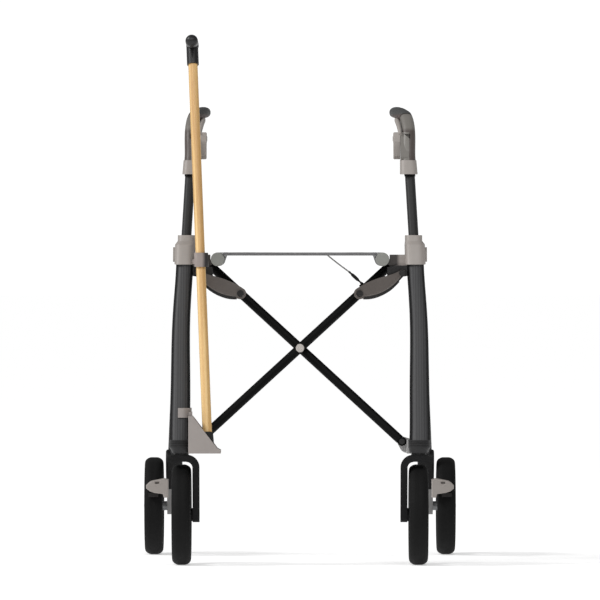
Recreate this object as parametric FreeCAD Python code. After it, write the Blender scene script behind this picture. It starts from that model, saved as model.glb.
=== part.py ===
import FreeCAD, Part
import math
import os

# Folding walker on four wheels (rollator) with a fabric seat and a walking cane carried on its left leg.
# Millimetres. +X is the walker's own left-to-right across the front view, -Y is forward, +Z is up.
# The origin is on the floor, midway between the wheels in X and in Y.
# "left" is the -X side and "right" is the +X side. Every side piece is made on +X and mirrored.

# ---- driving dimensions -------------------------------------------------------------------------
wheel_radius = 95.0
wheel_width = 36.0
wheelbase = 480.0
front_wheel_x = 224.0         # half the front track
rear_wheel_x = 285.5          # half the rear track
caster_trail = 25.0           # front axle behind its steering axis

seat_top_z = 591.0
rail_x = 157.0                # half the distance between the seat rails
rail_radius = 11.5
rail_wall = 1.8
rail_length = 220.0
rail_front_y = -150.0
rail_cap_length = 5.0
seat_cloth = 1.3              # cloth thickness, round the rails and across the seat

leg_foot_x = 226.5            # front leg's centre at its foot
leg_lean_y = 0.43             # rearward lean of the front leg, post and cane, mm per mm of height
leg_width_foot = 40.0
leg_width_top = 33.0
leg_depth_foot = 48.0
leg_depth_top = 43.0
leg_cap_height = 24.0

collar_height = 56.0
collar_bottom_z = 568.0
collar_lower_height = 38.0
collar_lower_width = 39.0
collar_upper_width = 33.0
collar_depth = 52.0
collar_upper_depth = 44.0
collar_shoulder = 7.0          # height of the slope between the two parts

post_x_at_collar = 220.0      # post's centre at the collar's bottom
post_lean_x = 0.054           # inward lean of the post
post_width = 19.2
post_depth = 26.0
post_seen = 117.0             # post between the two collars
post_hidden = 110.0           # post inside the collar and the leg
post_travel_down = 100.0
grip_end_x = 189.0
grip_end_y = 172.0

rear_leg_width = 24.0
rear_leg_depth = 34.0
rear_leg_top_z = 495.0
rear_leg_foot_x = 246.0
rear_leg_foot_z = 196.0
rear_leg_bow = 45.0           # height of the rear leg's arc over its chord

tube_radius = 8.5
tube_wall = 1.6
tube_pivot_x = 193.0          # half the distance between the two lower hinges
tube_pivot_y = -230.0
tube_rail_y = -70.0           # where the tubes meet the rails
tube_rail_offset = 18.9       # rail centre above the tube's line
tube_layer = 10.5             # each tube ahead of or behind the middle plane of the cross
fold_closed_deg = 78.0        # tube's angle to the floor when folded
pivot_pin_radius = 4.0

link_pivot_x = 195.0
link_pivot_z = 552.0
link_front_y = -141.0
link_thickness = 6.0

cane_radius = 9.0
cane_top_z = 1008.0
cane_foot_x = 173.3
cane_lean_x = 0.0437          # outward lean of the cane, mm per mm of height
cane_lean_y = 0.36            # rearward lean of the cane
cane_ahead = 42.0             # cane's foot ahead of the leg's line
cane_tip_radius = 12.5
cup_floor_z = 217.0
cup_wall = 4.0
cup_outer_x = 204.0
cup_inner_x = 149.0
cup_top_z = 283.0

stem_radius = 7.0
button_height = 28.0          # height button in the collar's outer face
button_width = 16.0
button_proud = 3.0
button_depth = 6.5

handle_shift = 1.5            # handle's centre line, inward of the post's
lever_width = 13.0
lever_side = 7.0              # lever's outer face, inward of its pivot point
lever_pin_radius = 3.0

tyre_inner_radius = 73.0
rim_inner_radius = 65.0
hub_radius = 18.0
spoke_count = 7
axle_radius = 6.0
front_hub_half = 13.5
arm_thickness = 13.0          # fork
arm_gap = 3.0
boss_radius = 14.5
crown_thickness = 12.5
bearing_height = 4.5

dropout_x0 = 240.0            # rear arm's plate, inside the wheel
dropout_x1 = 260.0
dropout_foot_radius = 17.0
rear_axle_radius = 6.0
rear_hub_half = 13.0
pad_half_x = 9.5
pad_z0 = 115.5
pad_z1 = 123.0
pad_depth = 13.0
housing_foot_z = 114.5
housing_top_z = 152.0

link_eye_radius = 6.5
link_foot_radius = 11.0
cord_radius = 1.4
toggle_radius = 3.4
cord_y = -95.0

tip_height = 30.0
cane_handle_radius = 12.0
cane_socket_height = 33.0
cane_bar_front = 44.0
cane_bar_back = 74.0

# ---- clearances ---------------------------------------------------------------------------------
running_fit = 0.05            # radial, shaft in its bearing
sliding_fit = 0.4             # all round, oval post or button in its guide
rest_gap = 0.4                # faces of two bodies that lie side by side
crown_gap = 6.0               # tyre to fork crown
brake_gap = 1.2               # brake pad to tyre

# ---- derived positions --------------------------------------------------------------------------
front_axle_y = -wheelbase / 2
rear_axle_y = wheelbase / 2
steer_y = front_axle_y - caster_trail
crown_bottom_z = 2 * wheel_radius + crown_gap
cap_bottom_z = crown_bottom_z + crown_thickness + bearing_height
leg_foot_z = cap_bottom_z + leg_cap_height
leg_foot_y = steer_y + 3.0
collar_top_z = collar_bottom_z + collar_height
grip_collar_z = collar_top_z + post_seen
grip_collar_height = 27.0

sleeve_radius = rail_radius + 0.3 + seat_cloth
rail_z = seat_top_z - sleeve_radius
tube_pivot_z = leg_foot_z - 4.0

# The cross: each tube runs from a lower hinge to the rail on the other side.
reach_x = rail_x + tube_pivot_x
reach_z = rail_z - tube_pivot_z
reach = math.hypot(reach_x, reach_z)
tube_angle = math.atan2(reach_z, reach_x) - math.asin(tube_rail_offset / reach)
below_centre = tube_pivot_x / math.cos(tube_angle)
above_centre = math.sqrt(reach ** 2 - tube_rail_offset ** 2) - below_centre
centre_z = tube_pivot_z + tube_pivot_x * math.tan(tube_angle)
tube_slope = (tube_rail_y - tube_pivot_y) / (below_centre + above_centre)
tube_half_y = tube_radius * math.sqrt(1 + tube_slope ** 2)
lug_behind = tube_half_y + 4.0        # the tube leans back past its lug's rear face
centre_boss_radius = 8.0
centre_boss_out = tube_half_y + tube_slope * centre_boss_radius + 0.1
centre_boss_in = tube_layer - rest_gap / 2


def link_place_on_tube():
    """Distance from the cross's centre to the link's pivot, equal reach open and folded."""
    across = link_pivot_x - tube_pivot_x
    up = link_pivot_z - tube_pivot_z

    def terms(angle):
        c, s = math.cos(angle), math.sin(angle)
        slope = 2 * below_centre * (s * s - c * c) - 2 * across * c - 2 * up * s
        return slope, 2 * below_centre * (across * c - up * s)

    open_slope, open_rest = terms(tube_angle)
    closed_slope, closed_rest = terms(math.radians(fold_closed_deg))
    return -(closed_rest - open_rest) / (closed_slope - open_slope)


link_on_tube = link_place_on_tube()
link_foot_x = link_on_tube * math.cos(tube_angle)
link_foot_z = centre_z + link_on_tube * math.sin(tube_angle)
link_length = math.hypot(link_pivot_x - link_foot_x, link_pivot_z - link_foot_z)
link_back_y = link_front_y + link_thickness
boss_front_y = link_back_y + 8.6

nodes = {}


# ---- helpers ------------------------------------------------------------------------------------
def V(x, y, z):
    return FreeCAD.Vector(x, y, z)


def box(x0, x1, y0, y1, z0, z1):
    return Part.makeBox(x1 - x0, y1 - y0, z1 - z0, V(x0, y0, z0))


def rod(start, end, radius):
    return Part.makeCylinder(radius, (end - start).Length, start, end - start)


def pin(x, z, y0, y1, radius):
    """Round piece along Y."""
    return rod(V(x, y0, z), V(x, y1, z), radius)


def axle(x0, x1, y, z, radius):
    """Round piece along X."""
    return rod(V(x0, y, z), V(x1, y, z), radius)


def oval(centre, half_u, half_v, u=V(1, 0, 0), v=V(0, 1, 0), squareness=2.4, count=24):
    """Closed smooth outline, between an ellipse and a rounded rectangle."""
    points = []
    for i in range(count):
        a = 2 * math.pi * i / count
        c, s = math.cos(a), math.sin(a)
        cu = math.copysign(abs(c) ** (2 / squareness), c)
        sv = math.copysign(abs(s) ** (2 / squareness), s)
        points.append(centre + u * (half_u * cu) + v * (half_v * sv))
    curve = Part.BSplineCurve()
    curve.interpolate(points, PeriodicFlag=True)
    return Part.Wire(curve.toShape())


def prism(wire, along):
    return Part.Face(wire).extrude(along)


def polygon(points):
    return Part.makePolygon(points + points[:1])


def strap(x0, x1, y0, z0, r0, y1, z1, r1):
    """Plate between two round ends, thick along X: its sides are tangent to both ends."""
    gap = math.hypot(y1 - y0, z1 - z0)
    a = math.atan2(z1 - z0, y1 - y0)
    b = math.acos((r0 - r1) / gap)
    corners = [(y0, z0, r0, a + b), (y1, z1, r1, a + b), (y1, z1, r1, a - b), (y0, z0, r0, a - b)]
    points = [V(x0, y + r * math.cos(t), z + r * math.sin(t)) for y, z, r, t in corners]
    plate = prism(polygon(points), V(x1 - x0, 0, 0))
    ends = [axle(x0, x1, y0, z0, r0), axle(x0, x1, y1, z1, r1)]
    return plate.multiFuse(ends).removeSplitter()


def keep(name, shape):
    if len(shape.Solids) != 1:
        print("CHECK", name, [round(solid.Volume) for solid in shape.Solids])
    shape = max(shape.Solids, key=lambda solid: solid.Volume)
    nodes[name] = shape


def mirrored(shape):
    return shape.mirror(V(0, 0, 0), V(1, 0, 0))


def keep_side(name, side, shape):
    keep(side + "_" + name, shape if side == "right" else mirrored(shape))


# ---- lines that the side pieces follow ----------------------------------------------------------
def leg_y(z):
    return leg_foot_y + leg_lean_y * (z - leg_foot_z)


def post_x(z):
    return post_x_at_collar - post_lean_x * (z - collar_bottom_z)


def leg_x(z):
    return min(leg_foot_x, post_x(z))


def up_post(height):
    """A step along the post's line that climbs by the height."""
    return V(-post_lean_x * height, leg_lean_y * height, height)


def on_post(z):
    return V(post_x(z), leg_y(z), z)


def post_section(z, extra):
    return oval(on_post(z), post_width / 2 + extra, post_depth / 2 + extra)


# ---- side frame ---------------------------------------------------------------------------------
def leg_solid():
    """Outer shape of the front leg, from its cap up to the collar."""
    run = collar_bottom_z - leg_foot_z
    sections = []
    for share in (0.0, 0.22, 0.45, 0.68, 0.86, 1.0):
        z = leg_foot_z + share * run
        taper = min(1.0, share / 0.8)
        width = leg_width_foot + (leg_width_top - leg_width_foot) * taper
        depth = leg_depth_foot + (leg_depth_top - leg_depth_foot) * taper
        sections.append(oval(V(leg_x(z), leg_y(z), z), width / 2, depth / 2))
    return Part.makeLoft(sections, True)


def front_leg(outer):
    bore_bottom = collar_top_z - post_hidden - post_travel_down - 6.0
    bore = prism(post_section(bore_bottom, 1.5), up_post(collar_bottom_z - bore_bottom + 1.0))
    return outer.cut(bore)


cap_x = leg_foot_x - 0.8
cap_half_x = leg_width_foot / 2 + 1.0
cap_half_y = leg_depth_foot / 2 + 0.8


def cap_solid():
    """Outer shape of the leg's foot, without its groove and bearing."""
    return Part.makeLoft([
        oval(V(cap_x, leg_foot_y, leg_foot_z), cap_half_x, cap_half_y),
        oval(V(cap_x, leg_foot_y - 0.5, leg_foot_z - 14.0), cap_half_x, cap_half_y),
        oval(V(front_wheel_x, steer_y, cap_bottom_z), cap_half_x - 4.0, cap_half_y - 5.0),
    ], True, True)


def leg_cap(cap):
    """Plastic foot of the leg with the steering bearing under it."""
    bottom = cap_bottom_z
    bearing = rod(V(front_wheel_x, steer_y, bottom - bearing_height + rest_gap),
                  V(front_wheel_x, steer_y, bottom), 14.0)
    x, y, groove_z = cap_x, leg_foot_y, leg_foot_z - 4.0
    groove = prism(oval(V(x, y, groove_z), cap_half_x + 2, cap_half_y + 2), V(0, 0, 1.2))
    groove = groove.cut(prism(oval(V(x, y, groove_z - 1), cap_half_x - 0.8, cap_half_y - 0.8),
                              V(0, 0, 4)))
    cap = cap.fuse(bearing).cut(groove)
    return cap.cut(rod(V(front_wheel_x, steer_y, bottom - 9), V(front_wheel_x, steer_y, bottom + 19.5),
                       stem_radius + running_fit))


def collar_outer():
    """Moulding with a broad lower part and a narrower neck, flush on its inner side."""
    low = collar_bottom_z
    middle = low + collar_lower_height
    lower_x = post_x(low)
    upper_x = lower_x - (collar_lower_width - collar_upper_width) / 2
    levels = ((low, lower_x, collar_lower_width, collar_depth),
              (middle, lower_x - 0.8, collar_lower_width, collar_depth),
              (middle + collar_shoulder, upper_x, collar_upper_width, collar_upper_depth),
              (collar_top_z, upper_x, collar_upper_width, collar_upper_depth))
    return Part.makeLoft([oval(V(x, leg_y(z), z), width / 2, depth / 2, squareness=3.4)
                          for z, x, width, depth in levels], True, True)


def button_block(extra, depth):
    z0 = collar_bottom_z + (collar_lower_height - button_height) / 2 - extra
    height = button_height + 2 * extra
    x1 = post_x(collar_bottom_z) + collar_lower_width / 2 + button_proud
    outline = oval(V(x1 - depth, leg_y(z0 + height / 2), z0 + height / 2), button_width / 2 + extra,
                   height / 2, V(0, 1, 0), V(0, leg_lean_y, 1), squareness=4.0)
    return prism(outline, V(depth, 0, 0))


def collar(outer):
    bore = prism(post_section(collar_bottom_z - 1, sliding_fit), up_post(collar_height + 3))
    pocket_depth = button_depth + 3.5
    pocket = button_block(sliding_fit, pocket_depth)
    return outer.cut(bore).cut(pocket)


def rear_leg_arc():
    """The rear leg's centre line: one arc, given by its ends, its middle, its centre and its axis."""
    start = V(leg_x(rear_leg_top_z), leg_y(rear_leg_top_z), rear_leg_top_z)
    end = V(rear_leg_foot_x, rear_axle_y - 28.0, rear_leg_foot_z)
    chord = end - start
    out = V(0, -chord.z, chord.y)
    out.normalize()
    half = chord.Length / 2
    radius = (half ** 2 + rear_leg_bow ** 2) / (2 * rear_leg_bow)
    middle = start + chord * 0.5
    centre = middle - out * (radius - rear_leg_bow)
    axis = chord.cross(out)
    axis.normalize()
    return start, end, centre, axis, math.degrees(2 * math.asin(half / radius))


def rear_leg(leg_outer):
    start, end, centre, axis, angle = rear_leg_arc()
    outward = start - centre
    outward.normalize()
    section = Part.Face(oval(start, rear_leg_width / 2, rear_leg_depth / 2, axis, outward,
                             squareness=2.2))
    turned = section.revolve(centre, axis, -angle)
    probe = turned.CenterOfMass
    if (probe - end).Length > (start - end).Length:
        turned = section.revolve(centre, axis, angle)
    return turned.cut(leg_outer)


def dropout(rear_leg_solid):
    """Rear arm: a socket round the rear leg's end and a plate down to the axle."""
    foot_y = rear_axle_y - 28.0
    socket = strap(rear_leg_foot_x - 16.0, rear_leg_foot_x + 16.0, foot_y - 3, rear_leg_foot_z - 10.0,
                   20.0, foot_y + 9, rear_leg_foot_z - 32.0, 19.0)
    socket = socket.makeFillet(4.0, [e for e in socket.Edges if e.BoundBox.XLength < 0.01])
    plate = strap(dropout_x0, dropout_x1, foot_y, rear_leg_foot_z - 15.0, 18.0,
                  rear_axle_y, wheel_radius, dropout_foot_radius)
    arm = socket.fuse(plate).removeSplitter()
    arm = arm.cut(rear_leg_solid)
    return arm.cut(axle(dropout_x0 - 1, dropout_x1 + 1, rear_axle_y, wheel_radius, rear_axle_radius))


def rear_axle():
    hub_inner = rear_wheel_x - rear_hub_half
    hub_outer = rear_wheel_x + rear_hub_half
    y, z = rear_axle_y, wheel_radius
    shaft = axle(dropout_x0, hub_outer + rest_gap + 3.0, y, z, rear_axle_radius)
    spacer = axle(dropout_x1, hub_inner - rest_gap, y, z, 9.0)
    nut = axle(hub_outer + rest_gap, hub_outer + rest_gap + 4.0, y, z, 9.5)
    return shaft.multiFuse([spacer, nut]).removeSplitter()


def tyre_front_y(z):
    return rear_axle_y - math.sqrt(wheel_radius ** 2 - (z - wheel_radius) ** 2)


def brake_housing():
    """Brake shell: a cheek inside the wheel and a hood ahead of the tyre, over the pad."""
    outer_x = rear_wheel_x + wheel_width / 2 - 4.5
    cheek_x0 = dropout_x1 - 4.0
    cheek_x1 = rear_wheel_x - wheel_width / 2 - 3.0
    front = tyre_front_y(pad_z1) - pad_depth - 16.0
    back = tyre_front_y(pad_z1 + 6.0) - brake_gap - 1.0
    top = housing_top_z
    hood = [(cheek_x0, housing_foot_z), (cheek_x0, top - 2.0), (cheek_x0 + 8, top),
            (rear_wheel_x + 4, top - 5.0), (outer_x - 6, top - 7.5), (outer_x, top - 13.0),
            (outer_x, top - 19.5), (outer_x - 7, top - 25.0), (rear_wheel_x - 2, pad_z1 + 1.0),
            (cheek_x1 + 2, pad_z1 - 1.5), (cheek_x1, housing_foot_z)]
    shell = prism(polygon([V(x, front, z) for x, z in hood]), V(0, back - front, 0))
    shell = shell.makeFillet(2.5, [e for e in shell.Edges if abs(e.BoundBox.YLength) < 0.1
                                   and e.BoundBox.YMax < front + 1])
    cheek = box(dropout_x1, cheek_x1, back - 2, rear_axle_y - 34.0, pad_z1 + 1.0, top - 4.0)
    shell = shell.fuse(cheek)
    notch = box(rear_wheel_x - 12, rear_wheel_x - 3.5, front - 1, front + 5, top - 10.5, top - 6.0)
    swept = axle(rear_wheel_x - wheel_width, rear_wheel_x + wheel_width, rear_axle_y, wheel_radius,
                 wheel_radius + 1.5)
    inside = box(rear_wheel_x - wheel_width / 2 - 1.5, outer_x + 9, rear_axle_y - wheel_radius - 9,
                 rear_axle_y, 90, 200)
    guide = box(rear_wheel_x - pad_half_x - rest_gap, rear_wheel_x + pad_half_x + rest_gap,
                tyre_front_y(pad_z1) - pad_depth - 1.0, rear_axle_y - 60.0,
                pad_z0 - 5.0, pad_z1 + rest_gap)
    return shell.cut(notch).cut(swept.common(inside)).cut(guide).removeSplitter()


def brake_pad():
    """Rubber block that is pressed rearward on the tyre. Its back follows the tyre."""
    front = tyre_front_y(pad_z1) - pad_depth
    block = box(rear_wheel_x - pad_half_x, rear_wheel_x + pad_half_x, front, rear_axle_y - 70.0,
                pad_z0, pad_z1)
    return block.cut(axle(rear_wheel_x - 20, rear_wheel_x + 20, rear_axle_y, wheel_radius,
                          wheel_radius + brake_gap))


def hinge_bracket(layer):
    """Ear and pin for the lower end of one cross tube, on the leg cap's inner face."""
    x, z = tube_pivot_x, tube_pivot_z
    lug_front = tube_pivot_y + layer - tube_radius
    ear_y0 = tube_pivot_y + layer + lug_behind + rest_gap
    ear_y1 = ear_y0 + 5.5
    face_x = cap_x - leg_width_foot / 2
    ear = strap_y(ear_y0, ear_y1, x, z, 9.0, face_x - 3.0, z - 8.0, 14.0)
    base = box(x + 9.0, face_x + 4.0, leg_foot_y + 1.0, ear_y1, z - 22.0, z + 3.5)
    shaft = pin(x, z, lug_front - 1.8, ear_y1, pivot_pin_radius)
    head = pin(x, z, lug_front - 1.8, lug_front - rest_gap, 5.5)
    return ear.multiFuse([base, shaft, head])


def strap_y(y0, y1, x0, z0, r0, x1, z1, r1):
    """Plate between two round ends, thick along Y."""
    gap = math.hypot(x1 - x0, z1 - z0)
    a = math.atan2(z1 - z0, x1 - x0)
    b = math.acos((r0 - r1) / gap)
    corners = [(x0, z0, r0, a + b), (x1, z1, r1, a + b), (x1, z1, r1, a - b), (x0, z0, r0, a - b)]
    points = [V(x + r * math.cos(t), y0, z + r * math.sin(t)) for x, z, r, t in corners]
    plate = prism(polygon(points), V(0, y1 - y0, 0))
    return plate.multiFuse([pin(x0, z0, y0, y1, r0), pin(x1, z1, y0, y1, r1)]).removeSplitter()


def seat_bracket(collar_shape, leg_shape):
    """Cradle for the seat rail, with the ear and pin of the folding link under it."""
    ear_y0 = link_back_y + rest_gap
    cradle_y0 = ear_y0 + 5.0
    tube_end = tube_line(above_centre, 1, -tube_layer)
    cradle_y1 = tube_end.y - tube_half_y - 4.0
    face_x = post_x(collar_bottom_z) - collar_lower_width / 2
    wall_x = rail_x + sleeve_radius + 1.2
    top, bottom = rail_z + 9.0, rail_z - 13.5
    block = prism(polygon([V(x, cradle_y0, z) for x, z in (
        (wall_x - 5.0, rail_z), (wall_x - 5.0, rail_z - 8.0), (wall_x + 2.0, bottom),
        (face_x + 4.0, bottom), (face_x + 4.0, top), (wall_x, top), (wall_x, rail_z))]),
        V(0, cradle_y1 - cradle_y0, 0))
    block = block.cut(pin(rail_x, rail_z, cradle_y0 - 1, cradle_y1 + 1, sleeve_radius + 0.5))
    ear = polygon([V(x, ear_y0, z) for x, z in (
        (link_pivot_x - 7.0, link_pivot_z - 3.0), (link_pivot_x - 22.0, link_pivot_z - 5.5),
        (link_pivot_x - 29.0, link_pivot_z - 8.0), (link_pivot_x - 28.5, bottom - 2.0),
        (wall_x + 2.0, bottom), (link_pivot_x - 11.0, bottom + 3.0), (face_x + 4.0, bottom + 3.0),
        (face_x + 4.0, link_pivot_z - 6.0), (link_pivot_x + 3.0, link_pivot_z - 7.0),
        (link_pivot_x - 4.0, link_pivot_z - 6.5))])
    ear = prism(ear, V(0, cradle_y0 - ear_y0 + 2.0, 0))
    shaft = pin(link_pivot_x, link_pivot_z, link_front_y - 3.0, ear_y0 + 2, pivot_pin_radius)
    head = pin(link_pivot_x, link_pivot_z, link_front_y - 3.0, link_front_y - rest_gap, 6.0)
    bracket = block.fuse(ear).cut(collar_shape).cut(leg_shape)
    return bracket.multiFuse([shaft, head]).removeSplitter()


# ---- wheels and forks ---------------------------------------------------------------------------


def tyre(x, y):
    """Solid rubber tyre with rounded shoulders."""
    half = wheel_width / 2
    bead = half - 4.0
    profile = [(tyre_inner_radius, -bead), (wheel_radius - 13.0, -half), (wheel_radius - 7.0, -half + 0.9),
               (wheel_radius - 1.5, -half + 7.0), (wheel_radius, -half + 13.0)]
    profile += [(r, -w) for r, w in reversed(profile)]
    points = [V(x + w, y, wheel_radius + r) for r, w in profile]
    side = Part.BSplineCurve()
    side.interpolate(points[:5])
    other = Part.BSplineCurve()
    other.interpolate(points[5:])
    edges = [side.toShape(), Part.makeLine(points[4], points[5]), other.toShape(),
             Part.makeLine(points[9], points[0])]
    face = Part.Face(Part.Wire(edges))
    return face.revolve(V(x, y, wheel_radius), V(1, 0, 0), 360)


def rim(x, y, hub_half, bore_radius):
    """Moulded wheel: rim ring, spokes in pairs and hub, one piece."""
    half = wheel_width / 2 - 5.0
    z = wheel_radius
    ring = axle(x - half, x + half, y, z, tyre_inner_radius)
    ring = ring.cut(axle(x - half - 1, x + half + 1, y, z, rim_inner_radius))
    hub = axle(x - hub_half, x + hub_half, y, z, hub_radius)
    spokes = []
    for i in range(spoke_count):
        for lean in (-9.0, 9.0):
            spoke = box(x - 6.0, x + 6.0, y - 2.2, y + 2.2, z + hub_radius - 4.0, z + rim_inner_radius + 3.0)
            spoke.rotate(V(x, y, z + rim_inner_radius), V(1, 0, 0), lean)
            spoke.rotate(V(x, y, z), V(1, 0, 0), 360.0 / spoke_count * i)
            spokes.append(spoke)
    wheel = ring.multiFuse([hub] + spokes)
    wheel = wheel.cut(axle(x - hub_half - 1, x + hub_half + 1, y, z, bore_radius + running_fit))
    beyond = axle(x - 30, x + 30, y, z, wheel_radius + 20)
    beyond = beyond.cut(axle(x - 31, x + 31, y, z, tyre_inner_radius))
    return wheel.cut(beyond).removeSplitter()


def fork():
    """Single-sided caster fork: a crown over the wheel, an arm on its inner side and a stem."""
    arm_x1 = front_wheel_x - wheel_width / 2 - arm_gap
    arm_x0 = arm_x1 - arm_thickness
    crown_x1 = front_wheel_x + 20.0
    z0, z1 = crown_bottom_z, crown_bottom_z + crown_thickness
    outer, inner = 24.0, 24.0 - arm_thickness
    y0, y1 = steer_y - 17.0, steer_y + 17.0
    corner_x, corner_z = arm_x0 + outer, z1 - outer
    swing = math.radians(135)
    arch = Part.Wire([
        Part.makeLine(V(crown_x1, y0, z0), V(crown_x1, y0, z1)),
        Part.makeLine(V(crown_x1, y0, z1), V(corner_x, y0, z1)),
        Part.Arc(V(corner_x, y0, z1),
                 V(corner_x + outer * math.cos(swing), y0, corner_z + outer * math.sin(swing)),
                 V(arm_x0, y0, corner_z)).toShape(),
        Part.makeLine(V(arm_x0, y0, corner_z), V(arm_x0, y0, corner_z - 18)),
        Part.makeLine(V(arm_x0, y0, corner_z - 18), V(arm_x1, y0, corner_z - 18)),
        Part.makeLine(V(arm_x1, y0, corner_z - 18), V(arm_x1, y0, corner_z)),
        Part.Arc(V(arm_x1, y0, corner_z),
                 V(corner_x + inner * math.cos(swing), y0, corner_z + inner * math.sin(swing)),
                 V(corner_x, y0, corner_z + inner)).toShape(),
        Part.makeLine(V(corner_x, y0, corner_z + inner), V(corner_x, y0, z0)),
        Part.makeLine(V(corner_x, y0, z0), V(crown_x1, y0, z0)),
    ])
    crown = prism(arch, V(0, y1 - y0, 0))
    arm = strap(arm_x0, arm_x1, steer_y, corner_z - 17.5, 17.0, front_axle_y, wheel_radius, boss_radius)
    boss = axle(arm_x1 - 1, front_wheel_x - front_hub_half - rest_gap, front_axle_y, wheel_radius,
                boss_radius - 2.0)
    stem = rod(V(front_wheel_x, steer_y, z0 + 2), V(front_wheel_x, steer_y, cap_bottom_z + 18.0),
               stem_radius)
    body = crown.multiFuse([arm, boss, stem]).removeSplitter()
    return body.cut(axle(arm_x0 - 1, arm_x1 + 10, front_axle_y, wheel_radius, axle_radius))


def front_axle():
    arm_x0 = front_wheel_x - wheel_width / 2 - arm_gap - arm_thickness
    end = front_wheel_x + front_hub_half + rest_gap
    y, z = front_axle_y, wheel_radius
    shaft = axle(arm_x0 + 0.5, end + 3.0, y, z, axle_radius)
    nut = axle(end, end + 3.0, y, z, 9.0)
    return shaft.fuse(nut).removeSplitter()


# ---- handle -------------------------------------------------------------------------------------
def handle_post():
    bottom = collar_top_z - post_hidden
    post = prism(post_section(bottom, 0), up_post(grip_collar_z + grip_collar_height - 6 - bottom))
    ring = prism(post_section(grip_collar_z - 4.0, 1.0), up_post(4.0))
    return post.fuse(ring).removeSplitter()


def handle_collar(post):
    z0, z1 = grip_collar_z, grip_collar_z + grip_collar_height
    lower = oval(V(post_x(z0) - 2.0, leg_y(z0), z0), 17.0, 23.0, squareness=3.2)
    upper = oval(V(post_x(z1) - handle_shift, leg_y(z1), z1), 15.8, 21.0, squareness=3.2)
    return Part.makeLoft([lower, upper], True, True).cut(post)


def tilted(centre, half_x, half_v, degrees, squareness=2.6):
    """Section across a path that climbs in the YZ plane, at the given angle from straight up."""
    t = math.radians(degrees)
    return oval(centre, half_x, half_v, V(1, 0, 0), V(0, math.cos(t), -math.sin(t)), squareness)


def handle_shell():
    """Moulding that turns the post back into the grip, with the lever's housing on its inner side."""
    z0 = grip_collar_z + grip_collar_height
    x0, y0 = post_x(z0) - handle_shift, leg_y(z0)
    sections = [
        tilted(V(x0 + 0.2, y0, z0), 14.2, 20.5, 0),
        tilted(V(x0 + 0.5, y0 + 14, z0 + 30), 13.6, 19.0, 18),
        tilted(V(x0 + 0.5, y0 + 29, z0 + 58), 13.2, 16.5, 32),
        tilted(V(x0 - 1.5, y0 + 46, z0 + 74), 12.8, 14.0, 54),
        tilted(grip_start(), 12.4, 12.4, 68),
    ]
    shell = Part.makeLoft(sections, True)
    px, py, pz = lever_pivot()
    inner = px - lever_side
    housing = prism(polygon([V(inner + rest_gap, y, z) for y, z in (
        (y0 - 16.0, z0), (y0 + 10.0, z0), (py + 14.0, pz), (py + 9.0, pz + 9.0), (py - 12.0, pz + 10.0),
        (py - 17.0, pz + 2.0), (y0 - 18.0, z0 + 6.0))]), V(16.0, 0, 0))
    notch = prism(polygon([V(inner + 7.0, y0 - 60, pz + 7.0), V(inner + 19.5, y0 - 60, pz + 7.0),
                           V(inner + 19.5, y0 - 60, pz - 3.5)]), V(0, 68.0, 0))
    shaft = axle(inner - lever_width + 0.6, px + 8, py, pz, lever_pin_radius)
    return shell.fuse(housing).cut(notch).fuse(shaft).removeSplitter()


def lever_pivot():
    z0 = grip_collar_z + grip_collar_height
    return post_x(z0) - 9.8, leg_y(z0) + 22.0, z0 + 44.0


def grip_start():
    z0 = grip_collar_z + grip_collar_height
    return V(post_x(z0) - handle_shift - 4.0, leg_y(z0) + 62.0, z0 + 82.5)


def grip():
    """Rubber sleeve from the bend to the rounded end."""
    z0 = grip_collar_z + grip_collar_height
    x0, y0 = post_x(z0) - handle_shift, leg_y(z0)
    end = V(grip_end_x, grip_end_y, z0 + 96.0)
    body = Part.makeLoft([tilted(grip_start(), 13.0, 13.0, 68),
                          tilted(V(x0 - 7.0, y0 + 88, z0 + 90.5), 13.6, 11.8, 80),
                          tilted(V(x0 - 9.5, y0 + 112, z0 + 93.0), 13.9, 11.0, 85),
                          tilted(end - V(0, 9, 0.5), 13.6, 10.2, 87)], True)
    rounding = ((9.0, 13.6, 10.2), (5.0, 12.9, 9.5), (2.0, 11.0, 7.8), (0.0, 7.6, 4.8))
    tip = Part.makeLoft([tilted(end - V(0, back, back / 18), half_x, half_v, 87)
                         for back, half_x, half_v in rounding], True, True)
    return body.fuse(tip)


def brake_lever():
    """Hanging front tab and a bar that runs back under the grip, on the handle's inner side."""
    px, py, pz = lever_pivot()
    outline = [(-15, 10), (-20, -8), (-17, -36), (-11, -42), (-3, -38), (6, -14), (30, -7), (88, -7),
               (98, -3), (99, 2), (94, 5), (60, 4), (24, 6), (10, 10)]
    x0 = px - lever_side - lever_width
    plate = prism(polygon([V(x0, py + y, pz + z) for y, z in outline]), V(lever_width, 0, 0))
    plate = plate.makeFillet(2.0, [e for e in plate.Edges if e.BoundBox.XLength < 0.01
                                   and e.BoundBox.XMax < x0 + 1])
    return plate.cut(axle(x0 - 1, px, py, pz, lever_pin_radius + running_fit))


# ---- cross, rails and seat ----------------------------------------------------------------------
def tube_line(distance, hand, layer):
    """A point on a cross tube, at a distance above (+) or below (-) the crossing."""
    return V(hand * distance * math.cos(tube_angle),
             tube_pivot_y + layer + tube_slope * (below_centre + distance),
             centre_z + distance * math.sin(tube_angle))


def rail_solid(x):
    end_y = rail_front_y + rail_length
    return pin(x, rail_z, rail_front_y, end_y, rail_radius)


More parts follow.
